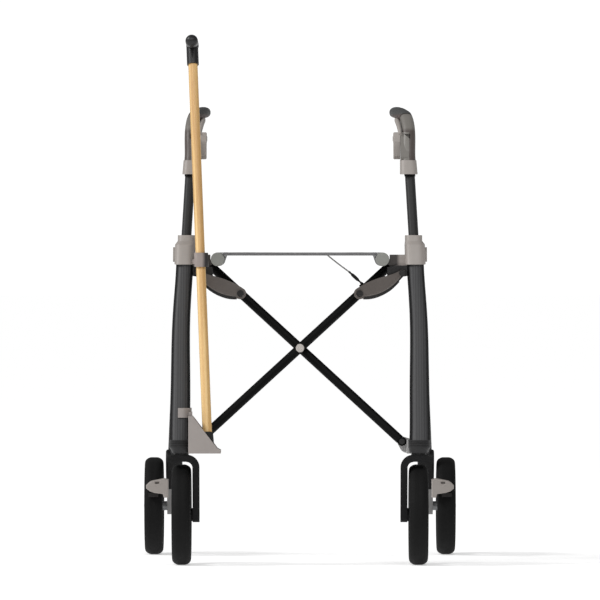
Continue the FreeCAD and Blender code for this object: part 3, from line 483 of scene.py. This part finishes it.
carbon = Finish("carbon_twill", {"Specular IOR Level": 0.14, "Coat Roughness": 0.35})
x, y, z = carbon.split(carbon.place())
nx, ny, _ = carbon.split(carbon.node("TexCoord", output="Normal"))
beside = abs(nx) > abs(ny)
across = x + (y - x) * beside
tow = 0.0024
warp, weft = (across + z) / tow, (across - z) / tow
over = ((warp.calc("FLOOR") + weft.calc("FLOOR")) % 4) < 1.5
warp_in, weft_in = warp.calc("FRACT") - 0.5, weft.calc("FRACT") - 0.5
height = over * (1 - warp_in * warp_in * 4) + (1 - over) * (1 - weft_in * weft_in * 4)
fibre = carbon.noise(900, 2)
haze = carbon.noise(9, 4)
# Painted shade: where the normal turns sideways, the leg takes a near-black colour and no coat, so its
# sides read dark and only the front face keeps the grey band.
painted_flank_shade = ((abs(nx) - 0.6) * 4.5).clamp()
weft_share = over * 0.5 + height * 0.25 + fibre * 0.25
carbon.feed(
    Base_Color=carbon.mix(painted_flank_shade, carbon.mix(weft_share, tint(54, 54, 55), tint(74, 74, 75)),
                          carbon.mix(weft_share, tint(5, 5, 6), tint(14, 14, 15))),
    Roughness=0.46 + over * 0.06 + haze * 0.08, Coat_Weight=(1 - painted_flank_shade) * 0.08)
carbon.relief(height * 0.5 + fibre * 0.2, 0.00006)
dress(["front_leg", "rear_leg"], carbon)


# ---- Moulded dark parts -------------------------------------------------------------------------
# Leg caps, rear arms and forks: glass-filled nylon, nearly black, with a fine spark-eroded grain.
# The cap shows two shallow grooves where it meets the leg.
def moulded(name, colour, worn, grain=0.00008, roughness=0.5, shine=0.4):
    """Moulded plastic: fine even grain, faint flow marks and a little polish from handling."""
    finish = Finish(name, {"Specular IOR Level": shine})
    fine, flow, polish = finish.noise(1300, 2), finish.noise(22, 4), finish.noise(60, 5)
    finish.feed(Base_Color=finish.mix(flow * 0.5 + polish * 0.3 + fine * 0.2, colour, worn),
                Roughness=roughness - 0.09 + polish * 0.13 + fine * 0.05)
    finish.relief(fine, grain)
    return finish


nylon_dark = moulded("nylon_dark", tint(7, 7, 8), tint(18, 18, 19), shine=0.2)
dress(["fork"], nylon_dark)
arm_finish = Finish("rear_arm_nylon", {"Specular IOR Level": 0.25})
x, y, z = arm_finish.split(arm_finish.place())
fine, flow = arm_finish.noise(1300, 2), arm_finish.noise(22, 4)
plate_top = 0.128
plate = z < plate_top
arm_finish.feed(Base_Color=arm_finish.mix(plate, arm_finish.mix(flow, tint(8, 8, 9), tint(20, 20, 21)),
                                          arm_finish.mix(flow, tint(124, 123, 123), tint(152, 151, 150))),
                Roughness=0.42 + fine * 0.12)
arm_finish.relief(fine, 0.00008)
dress(["rear_arm"], arm_finish)
cap_finish = Finish("cap_nylon", {"Specular IOR Level": 0.3})
x, y, z = cap_finish.split(cap_finish.place())
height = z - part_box("left_leg_cap")[1][2]
groove = (abs(height + 0.0065) < 0.0006) + (abs(height + 0.0105) < 0.0006)
fine = cap_finish.noise(1300, 2)
cap_finish.feed(
    Base_Color=cap_finish.mix(groove, cap_finish.mix(fine, tint(26, 26, 27), tint(40, 40, 41)),
                              tint(10, 10, 10)),
    Roughness=0.42 + fine * 0.14)
cap_finish.relief(fine * 0.1 - groove, 0.0005)
dress(["leg_cap"], cap_finish)


# ---- Wheels -------------------------------------------------------------------------------------
# Solid rubber tyres, 190 mm across, pressed on moulded rims with seven pairs of spokes. The tread
# has three fine grooves and short cuts at the shoulders, and the side walls have moulding rings.
wheel_radius, axle_y = 0.095, 0.24


def tyre_rubber(name, wheel_x, wheel_y):
    finish = Finish(name, {"Specular IOR Level": 0.18})
    x, y, z = finish.split(finish.place())
    side, ahead, up = abs(x) - wheel_x, y - wheel_y, z - wheel_radius
    radius = (ahead * ahead + up * up) ** 0.5
    turn = up.calc("ARCTAN2", ahead)
    grooves = (abs(abs(side) - 0.0062) < 0.00055) + (abs(side) < 0.00055)
    teeth = turn * (72 / (2 * math.pi))
    cuts = (teeth.calc("FRACT") < 0.16) * (abs(side) > 0.0085) * (radius > 0.086)
    rings = ((radius * 1900).calc("SINE") > 0.75) * (radius < 0.085)
    dust, fine = finish.noise(38, 5), finish.noise(1500, 2)
    tread = (radius > 0.0915) * 0.35
    finish.feed(Base_Color=finish.mix(dust * 0.6 + tread, tint(3, 3, 3), tint(16, 16, 16)),
                Roughness=0.6 + dust * 0.2 + fine * 0.08)
    finish.relief(fine * 0.15 + dust * 0.1 - grooves - cuts + rings * 0.5, 0.0005)
    return finish


rim_finish = moulded("rim_nylon", tint(30, 30, 31), tint(46, 46, 47), 0.00006, 0.46)
zinc = Finish("zinc_steel", {"Metallic": 1.0})
streaks = zinc.noise(400, 3, zinc.stretch(zinc.place(), (1, 6, 6)))
zinc.feed(Base_Color=zinc.mix(streaks, tint(120, 121, 123), tint(176, 177, 178)),
          Roughness=0.28 + streaks * 0.2)
zinc.relief(streaks, 0.00004)
front_x, rear_x = (sum(corner[0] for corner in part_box(rim)) / 2
                   for rim in ("right_front_rim", "right_rear_rim"))
dress(["front_tyre"], tyre_rubber("front_tyre_rubber", front_x, -axle_y))
dress(["rear_tyre"], tyre_rubber("rear_tyre_rubber", rear_x, axle_y))
dress(["front_rim", "rear_rim"], rim_finish)
dress(["front_axle", "rear_axle"], zinc)


def bolt_head(name, spot, facing, radius, height, body, finish):
    """Button-head screw with a hexagon socket, its flange lying on the surface at spot."""
    outline = [(radius, 0.0), (radius, height * 0.25), (radius * 0.93, height * 0.6),
               (radius * 0.72, height * 0.9), (radius * 0.5, height)]
    made = bmesh.new()
    rings = []
    for r, h in outline:
        rings.append([made.verts.new((r * math.cos(a), r * math.sin(a), h))
                      for a in (2 * math.pi * k / 36 for k in range(36))])
    hexagon = []
    for h in (height, height * 0.35):
        hexagon.append([])
        for k in range(36):
            a = 2 * math.pi * k / 36
            reach = radius * 0.36 / math.cos((a + math.pi / 6) % (math.pi / 3) - math.pi / 6)
            hexagon[-1].append(made.verts.new((reach * math.cos(a), reach * math.sin(a), h)))
    rings += hexagon
    for one, two in zip(rings, rings[1:]):
        for k in range(36):
            made.faces.new((one[k - 1], one[k], two[k], two[k - 1]))
    made.faces.new(rings[0][::-1])
    made.faces.new(rings[-1])
    turn = Vector((0, 0, 1)).rotation_difference(Vector(facing)).to_matrix().to_4x4()
    made.transform(Matrix.Translation(spot) @ turn)
    mesh = bpy.data.meshes.new(name)
    made.to_mesh(mesh)
    mesh.shade_smooth()
    mesh.set_sharp_from_angle(angle=math.radians(38))
    return place_piece(name, mesh, finish, body)


screw_black = Finish("screw_black", {"Metallic": 0.6, "Base Color": tint(48, 48, 50)})
screw_black.feed(Roughness=0.3 + screw_black.noise(700) * 0.2)
for name, side in sides:
    for axle, y, body in (("front_axle", -axle_y, "caster"), ("rear_axle", axle_y, "frame")):
        low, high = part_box(name + "_" + axle)
        outer = low[0] if side < 0 else high[0]
        bolt_head(name + "_" + axle + "_screw", (outer, y, wheel_radius), (side, 0, 0), 0.0062, 0.0026,
                  name + "_" + body, screw_black)


# ---- Brakes at the rear wheels ------------------------------------------------------------------
# A pale moulded housing ahead of each rear tyre, clamped to the rear arm, with a dark rubber pad
# that slides out of it to press on the tread.
taupe = moulded("taupe_plastic", tint(142, 135, 130), tint(160, 154, 149), 0.00007, 0.46)
pad_rubber = moulded("pad_rubber", tint(20, 18, 18), tint(36, 33, 32), 0.00015, 0.75)
dress(["brake_housing"], taupe)
dress(["brake_pad"], pad_rubber)


# ---- Cross tubes and hinges ---------------------------------------------------------------------
# Two aluminium tubes in satin black powder coat cross in front of one another on a bolt, whose
# round cover is pale. Grey moulded clevises hold their lower ends on the leg caps.
powder = Finish("black_powder_coat", {"Specular IOR Level": 0.12})
peel, fine = powder.noise(450, 3), powder.noise(30, 4)
powder.feed(Base_Color=powder.mix(peel * 0.5 + fine * 0.5, tint(2, 2, 2), tint(7, 7, 7)),
            Roughness=0.5 + fine * 0.14)
powder.relief(peel, 0.00003)
dress(["tube_rising_right", "tube_rising_left"], powder)
dress(["centre_pivot"], moulded("pivot_cover", tint(172, 166, 161), tint(190, 184, 179)))
clevis = Finish("clevis_grey", {"Specular IOR Level": 0.45})
x, y, z = clevis.split(clevis.place())
fine, flow = clevis.noise(1300, 2), clevis.noise(22, 4)
hinge_x, hinge_z, hinge_pin = 0.193, 0.233, 0.0062
aside, up = abs(x) - hinge_x, z - hinge_z
pin_here = (aside * aside + up * up) ** 0.5 < hinge_pin
clevis.feed(
    Base_Color=clevis.mix(pin_here, clevis.mix(flow, tint(160, 159, 159), tint(184, 183, 182)),
                          clevis.mix(fine, tint(18, 18, 19), tint(30, 30, 31))),
    Roughness=0.4 + fine * 0.12)
clevis.relief(fine, 0.00007)
dress(["hinge_bracket"], clevis)
dress(["cord_anchor"], nylon_dark)


# ---- Seat rails and their brackets --------------------------------------------------------------
# Aluminium tubes in the seat's sleeves, closed by pale caps. A moulded bracket on each side frame
# cradles the rail when the seat is down and carries the crescent link's bolt.
rail_finish = Finish("rail_and_caps", {"Specular IOR Level": 0.45})
x, y, z = rail_finish.split(rail_finish.place())
rail_low, rail_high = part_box("left_seat_rail")
rail_middle = (rail_low[1] + rail_high[1]) / 2
cap_here = abs(y - rail_middle) > (rail_high[1] - rail_low[1]) / 2 - 0.0061
fine = rail_finish.noise(1200, 2)
drawn = rail_finish.noise(300, 3, rail_finish.stretch(rail_finish.place(), (8, 0.5, 8)))
rail_finish.feed(
    Base_Color=rail_finish.mix(cap_here, rail_finish.mix(drawn, tint(88, 88, 90), tint(120, 120, 122)),
                               rail_finish.mix(fine, tint(120, 121, 116), tint(140, 140, 135))),
    Metallic=1 - cap_here, Roughness=0.36 + fine * 0.14)
rail_finish.relief(fine * cap_here + drawn * (1 - cap_here), 0.00006)
dress(["right_seat_rail", "left_seat_rail"], rail_finish)
bracket = Finish("bracket_plastic", {"Specular IOR Level": 0.45})
x, y, z = bracket.split(bracket.place())
fine, flow = bracket.noise(1200, 2), bracket.noise(25, 4)
link_face, fan_top, bracket_shade_x = -0.1414, 0.5664, 0.1905
# Darker towards the rail: partly the cradle's darker plastic, partly painted shade.
cradle_dark_and_shade = ((bracket_shade_x - abs(x)) * 160).clamp()
cradle = bracket.mix(cradle_dark_and_shade, bracket.mix(flow, tint(136, 129, 124), tint(154, 147, 142)),
                     bracket.mix(flow, tint(50, 46, 44), tint(68, 63, 60)))
fan = (z < fan_top).calc("MAXIMUM", y < link_face)
bracket.feed(Base_Color=bracket.mix(fan, cradle, bracket.mix(fine, tint(14, 13, 13), tint(27, 25, 25))),
             Roughness=0.42 + fine * 0.12)
bracket.relief(fine, 0.00008)
dress(["seat_bracket"], bracket)


# ---- Crescent links -----------------------------------------------------------------------------
# Curved moulded plates that fold with the walker, from a dark screw on the side frame to a stub on
# the cross tube. A black rubber lip runs along the lower edge, and shallow ribs stiffen the face.
link_finish = Finish("link_plastic", {"Specular IOR Level": 0.4})
x, y, z = link_finish.split(link_finish.place())
link_foot, link_eye = Vector((0.1136, 0, 0.5127)), Vector((0.195, 0, 0.552))
link_way = (link_eye - link_foot).normalized()
along = (abs(x) - link_foot.x) * link_way.x + (z - link_foot.z) * link_way.z
aside = (z - link_foot.z) * link_way.x - (abs(x) - link_foot.x) * link_way.z
rib_height_and_shade = (along * 900).calc("SINE") * (along > 0.066) * (aside < -0.004)
share = along / (link_eye - link_foot).length
lower_edge = ((share * 2.2 + 43.9) * share - 41.6) * share * 0.001 - 0.011
rim = (aside < lower_edge + 0.0042) * (along > 0.004)
# Painted highlight: a thin lighter line along the raised edge just above the dark lip.
edge = abs(aside - lower_edge - 0.0052) < 0.0008
stub = y < link_face
fine, flow, polish = link_finish.noise(1300, 2), link_finish.noise(22, 4), link_finish.noise(60, 5)
# The ribs also tint the colour, lighter on their crests and darker between them: painted highlight and
# shade.
body = link_finish.mix(flow * 0.6 + fine * 0.3 + rib_height_and_shade * 0.12, tint(74, 68, 64), tint(97, 90, 86))
link_finish.feed(
    Base_Color=link_finish.mix(stub + rim, link_finish.mix(edge * 0.6, body, tint(112, 106, 103)),
                               tint(17, 15, 15)),
    Roughness=0.44 + polish * 0.14)
link_finish.relief(fine * 0.1 + rib_height_and_shade * 0.4 + edge * 0.5 - rim * 0.5, 0.0006)
dress(["link"], link_finish)
lip_y = -0.138
lip_rubber = moulded("lip_rubber", tint(10, 10, 10), tint(24, 23, 23), 0.0001, 0.6)


def beside_link(share, aside):
    """A point of the right-hand link's plane: share of the way to its eye, and to its upper side."""
    spot = link_foot.lerp(link_eye, share) + Vector((-link_way.z, 0, link_way.x)) * aside
    return Vector((spot.x, lip_y, spot.z))


lip_route = [beside_link(*place) for place in (
    (0.02, -0.0120), (0.14, -0.0165), (0.32, -0.0192), (0.52, -0.0194), (0.70, -0.0164),
    (0.86, -0.0118))]
for name, side in sides:
    mesh, _ = sweep(name + "_link_lip", [(side * p.x, p.y, p.z) for p in lip_route], 0.0026,
                       (0.5, 0.9, 1.1, 1.1, 1.0, 0.6))
    place_piece(name + "_link_lip", mesh, lip_rubber, name + "_fold_link")


# ---- Collars, buttons and posts -----------------------------------------------------------------
# The pale collar closes the leg and guides the handle's post; the button on its outer side frees
# the latch. The post is dark anodised oval tube, drawn, with a wiper ring where it enters.
dress(["collar", "handle_collar", "height_button"], taupe)
anodised = Finish("dark_anodised", {"Specular IOR Level": 0.2})
drawn = anodised.noise(160, 4, anodised.stretch(anodised.place(), (9, 3, 0.35)))
fine = anodised.noise(1500, 2)
x, y, z = anodised.split(anodised.place())
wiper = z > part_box("right_handle_collar")[0][2] - 0.0042
anodised.feed(Base_Color=anodised.mix(wiper, anodised.mix(drawn, tint(42, 42, 42), tint(54, 54, 54)),
                                      tint(9, 9, 9)),
              Metallic=(1 - wiper) * 0.25, Roughness=0.44 + fine * 0.1 + wiper * 0.2)
anodised.relief(drawn + fine * 0.3, 0.00005)
dress(["handle_post"], anodised)


# ---- Handles, grips and brake levers ------------------------------------------------------------
# A moulded shell turns the post back into the grip. The grip is soft grey rubber, and the pale
# brake lever hangs on the handle's inner side and runs back under the fingers.
shell_finish = Finish("handle_plastic", {"Specular IOR Level": 0.45})
x, y, z = shell_finish.split(shell_finish.place())
fine, flow, polish = shell_finish.noise(1300, 2), shell_finish.noise(22, 4), shell_finish.noise(60, 5)
collar_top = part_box("right_handle_collar")[1][2]
shell_seam, seam_top = 0.2096, collar_top + 0.054
inner_part = (abs(x) < shell_seam) * (z < seam_top)
neck_height, palm_height = 0.056, 0.0865
upper_part = ((z - collar_top - neck_height) * 140).clamp()
seam = (abs(abs(x) - shell_seam) < 0.0005) * (z < seam_top)
strip = shell_finish.mix(flow, tint(70, 62, 59), tint(88, 80, 76))
pale = shell_finish.mix(flow, tint(106, 103, 98), tint(124, 120, 115))
shell_finish.feed(
    Base_Color=shell_finish.mix(inner_part.calc("MAXIMUM", upper_part), strip, pale),
    Roughness=0.38 + polish * 0.13)
shell_finish.relief(fine * 0.15 - seam, 0.0005)
dress(["handle_shell"], shell_finish)
grip_rubber = Finish("grip_rubber", {"Specular IOR Level": 0.3})
x, y, z = grip_rubber.split(grip_rubber.place())
fine, wear = grip_rubber.noise(1100, 2), grip_rubber.noise(40, 5)
palm = ((z - collar_top - palm_height) * 200).clamp()
dots = ((y * 1400).calc("SINE") * (x * 1400).calc("SINE")) > 0.35
grip_rubber.feed(
    Base_Color=grip_rubber.mix(palm, grip_rubber.mix(wear, tint(72, 63, 61), tint(92, 82, 80)),
                               grip_rubber.mix(wear, tint(58, 59, 59), tint(76, 76, 76))),
    Roughness=0.62 + wear * 0.14)
grip_rubber.relief(fine * 0.25 + dots * palm * 0.5, 0.0005)
collar_low, collar_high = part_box("right_handle_collar")
post_y = (collar_low[1] + collar_high[1]) / 2
grip_form = (      # across, behind the post, above the collar, half width, half height, turn in degrees
    (0.2045, 0.058, 0.0810, 0.0122, 0.0122, 66), (0.2020, 0.066, 0.0842, 0.0134, 0.0130, 71),
    (0.1975, 0.082, 0.0880, 0.0134, 0.0121, 78), (0.1925, 0.106, 0.0918, 0.0138, 0.0113, 85),
    (0.1895, 0.140, 0.0940, 0.0136, 0.0104, 88), (0.1882, 0.172, 0.0950, 0.0141, 0.0108, 89),
    (0.1878, 0.1985, 0.0953, 0.0138, 0.0103, 90))
tip_form = ((0.0035, 0.98), (0.0060, 0.90), (0.0078, 0.76), (0.0088, 0.55), (0.0092, 0.28))


def between(form, place):
    """Values at a place along a table of forms, on a smooth curve through its rows."""
    row = min(int(place), len(form) - 2)
    t = place - row
    rows = [form[max(0, min(len(form) - 1, row + k))] for k in (-1, 0, 1, 2)]
    return [0.5 * (2 * b + (c - a) * t + (2 * a - 5 * b + 4 * c - d) * t * t
                   + (3 * b - a - 3 * c + d) * t ** 3) for a, b, c, d in zip(*rows)]


for name, side in sides:
    steps = 8 * (len(grip_form) - 1)
    forms = [between(grip_form, i / 8) for i in range(steps + 1)]
    across, end, up, half_x, half_v, _ = forms[-1]
    forms += [[across, end + back, up, half_x * share, half_v * share, 90] for back, share in tip_form]
    made = bmesh.new()
    rings = []
    for across, back, up, half_x, half_v, turn in forms:
        t = math.radians(turn)
        ring = []
        for k in range(44):
            a = 2 * math.pi * k / 44
            u = half_x * math.copysign(abs(math.cos(a)) ** 0.86, math.cos(a))
            v = half_v * math.copysign(abs(math.sin(a)) ** 0.86, math.sin(a))
            ring.append(made.verts.new((side * (across + u), post_y + back + v * math.cos(t),
                                        collar_top + up - v * math.sin(t))))
        rings.append(ring)
    for one, two in zip(rings, rings[1:]):
        for k in range(44):
            made.faces.new((one[k - 1], one[k], two[k], two[k - 1]))
    made.faces.new(rings[0][::-1])
    made.faces.new(rings[-1])
    bmesh.ops.recalc_face_normals(made, faces=made.faces)
    mesh = bpy.data.meshes.new(name + "_rubber_grip")
    made.to_mesh(mesh)
    mesh.shade_smooth()
    mesh.set_sharp_from_angle(angle=math.radians(60))
    grip = place_piece(name + "_rubber_grip", mesh, grip_rubber, name + "_handle")
    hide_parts(name + "_grip")
trim_route = ((0.1925, 0.012, 0.050), (0.1908, 0.026, 0.062), (0.1885, 0.045, 0.072),
              (0.1862, 0.066, 0.078), (0.1853, 0.090, 0.0805))
for name, side in sides:
    mesh, _ = sweep(name + "_handle_trim", [(side * across, post_y + back, collar_top + up)
                                               for across, back, up in trim_route], 0.0042,
                       (0.7, 1.0, 1.1, 1.1, 0.6))
    place_piece(name + "_handle_trim", mesh, taupe, name + "_handle")
dress(["brake_lever"], taupe)


# ---- Cane ---------------------------------------------------------------------------------------
# A turned shaft of pale wood in satin lacquer, with a black handle on top and a rubber foot.
cane_foot, cane_way = Vector((-0.1733, -0.3126, 0.217)), Vector((-0.0437, 0.36, 1.0)).normalized()
cane_side = Vector((1, 0, 0)).cross(cane_way).normalized()
cane_other = cane_way.cross(cane_side)
wood = Finish("cane_wood", {"Coat Weight": 0.25, "Coat Roughness": 0.25})
place = wood.node("VectorMath", {"operation": "SUBTRACT"}, {0: wood.place(), 1: tuple(cane_foot)})
u, v, w = (wood.node("VectorMath", {"operation": "DOT_PRODUCT"}, {0: place, 1: tuple(way)}, 1)
           for way in (cane_side, cane_other, cane_way))
grown = wood.node("CombineXYZ", {}, {0: u * 14 + w * 0.25, 1: v * 14, 2: w * 0.45})
bend = wood.noise(6, 3, grown)
rings = ((u + v * 0.35) * 900 + bend * 9).calc("SINE")
pores = wood.noise(60, 4, wood.node("CombineXYZ", {}, {0: u * 40, 1: v * 40, 2: w * 1.1}))
tone = wood.noise(5, 4, grown)
shade = rings * 0.14 + pores * 0.35 + tone * 0.6
wood.feed(Base_Color=wood.node("ValToRGB", {"stops": [
    (0.18, tint(180, 134, 78)[:3]), (0.48, tint(220, 181, 118)[:3]), (0.72, tint(233, 200, 142)[:3]),
    (0.95, tint(242, 216, 168)[:3])]}, {0: shade}), Roughness=0.42 + pores * 0.16)
wood.relief(pores + rings * 0.2, 0.00008)
dress(["cane_shaft"], wood)
dress(["cane_handle"], moulded("cane_black", tint(16, 16, 17), tint(30, 30, 31), 0.0001, 0.4))
dress(["cane_tip"], moulded("cane_rubber", tint(20, 20, 20), tint(36, 35, 35), 0.0002, 0.75))
cup_plastic = moulded("cup_plastic", tint(138, 131, 127), tint(160, 153, 149), 0.00007, 0.48)
dress(["cane_cup"], cup_plastic)


# ---- Cane clip ----------------------------------------------------------------------------------
# A sprung band on the collar's bracket that the shaft snaps into, moulded like the cup. Its
# right-hand side is painted dark: painted shade.
clip_finish = Finish("clip_plastic", {"Specular IOR Level": 0.35})
x, y, z = clip_finish.split(clip_finish.place())
fine, flow = clip_finish.noise(1300, 2), clip_finish.noise(22, 4)
shade_reach = 0.1862
# Painted shade: from this x on, the band's right-hand side is coloured dark.
painted_shade_right = ((x + shade_reach) * 160).clamp()
clip_finish.feed(
    Base_Color=clip_finish.mix(painted_shade_right, clip_finish.mix(flow, tint(134, 124, 119), tint(152, 141, 136)),
                               clip_finish.mix(flow, tint(40, 38, 39), tint(54, 51, 52))),
    Roughness=0.44 + fine * 0.14)
clip_finish.relief(fine, 0.00008)
clip_low, clip_high = 0.5635, 0.5905
band_half, bore_x, bore_y, turns = 0.0129, 0.0097, 0.0101, 48
made = bmesh.new()
levels = []
for share in (0.0, 0.04, 0.5, 0.96, 1.0):
    z = clip_low + (clip_high - clip_low) * share
    middle = cane_foot + cane_way * ((z - cane_foot.z) / cane_way.z)
    swell = 0.0006 if 0.02 < share < 0.98 else 0.0
    outer, inner = [], []
    for k in range(turns):
        a = 2 * math.pi * k / turns
        c, d = math.cos(a), math.sin(a)
        outer.append(made.verts.new((
            middle.x + 0.0015 + (band_half + swell) * math.copysign(abs(c) ** 0.66, c),
            middle.y + (band_half + swell) * math.copysign(abs(d) ** 0.66, d), z)))
        inner.append(made.verts.new((middle.x + bore_x * c, middle.y + bore_y * d, z)))
    levels.append((outer, inner))
for (outer, inner), (outer_up, inner_up) in zip(levels, levels[1:]):
    for k in range(turns):
        made.faces.new((outer[k - 1], outer[k], outer_up[k], outer_up[k - 1]))
        made.faces.new((inner[k], inner[k - 1], inner_up[k - 1], inner_up[k]))
for outer, inner in (levels[0], levels[-1]):
    for k in range(turns):
        made.faces.new((outer[k - 1], outer[k], inner[k], inner[k - 1]))
arm_back, arm_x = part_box("cane_clip")[1][1], (-0.2055, -0.1935)
corners = [made.verts.new((x, y, z)) for z in (0.5690, 0.5778) for x, y in (
    (arm_x[0], arm_back), (arm_x[1], arm_back), (arm_x[1] + 0.004, -0.180), (arm_x[0] + 0.006, -0.180))]
for loop in ((3, 2, 1, 0), (4, 5, 6, 7), (0, 1, 5, 4), (1, 2, 6, 5), (2, 3, 7, 6), (3, 0, 4, 7)):
    made.faces.new([corners[i] for i in loop])
bmesh.ops.recalc_face_normals(made, faces=made.faces)
mesh = bpy.data.meshes.new("cane_clip_band")
made.to_mesh(mesh)
mesh.shade_smooth()
mesh.set_sharp_from_angle(angle=math.radians(35))
band = place_piece("cane_clip_band", mesh, clip_finish, "left_frame")
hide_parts("cane_clip")
